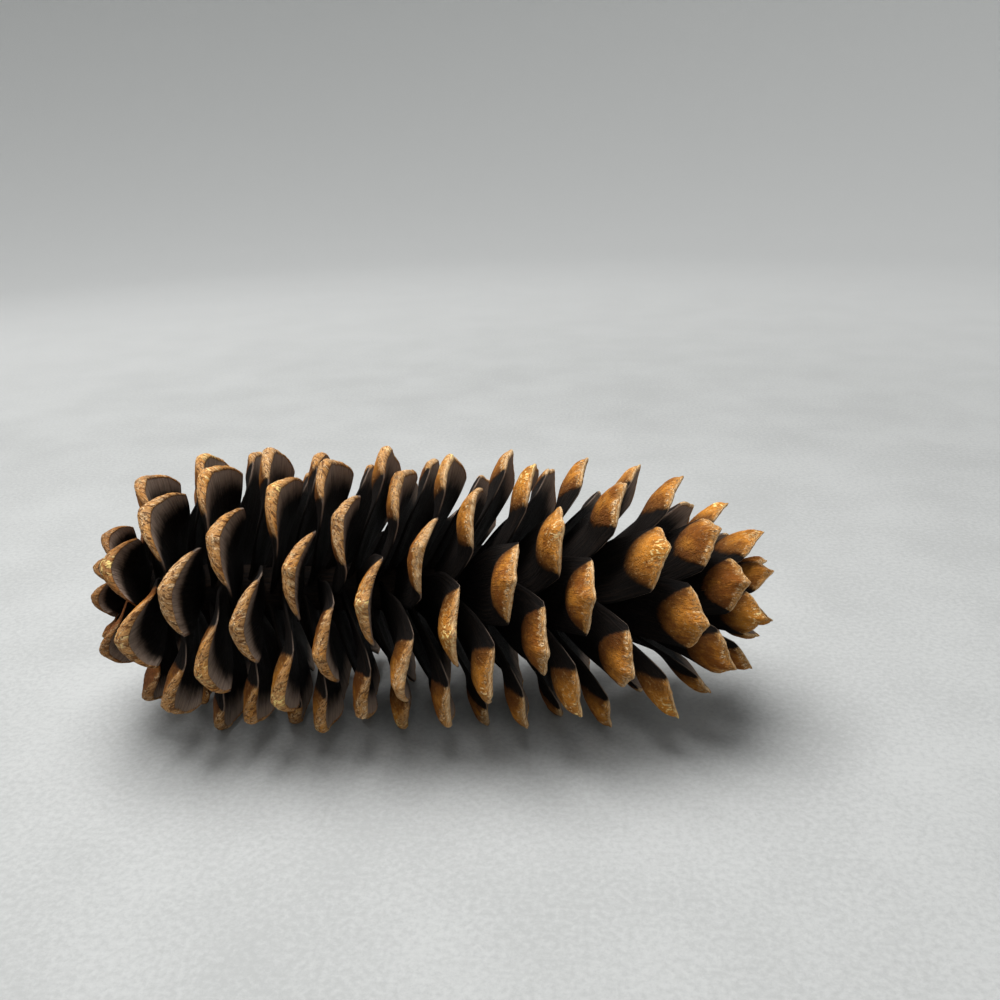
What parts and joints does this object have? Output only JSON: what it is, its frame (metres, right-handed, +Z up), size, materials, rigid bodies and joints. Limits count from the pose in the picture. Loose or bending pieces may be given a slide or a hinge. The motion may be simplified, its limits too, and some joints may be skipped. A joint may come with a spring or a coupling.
{
  "type": "pine cone",
  "caption": "Large dry open pine cone lying on its side: broad blunt woody scales in a spiral along a straight axis, with a short stem stub.",
  "frame": {"origin": "middle of the cone's length and width, on the surface it rests on", "axes": "+X along the cone's axis from the stem end to the tip, +Y away from the viewer, +Z up"},
  "size_m": [0.2829, 0.1225, 0.1189],
  "materials": {
    "cone_wood": "dry matte bark"
  },
  "bodies": {
    "root": {"pine_cone": "cone_wood"}
  },
  "joints": []
}
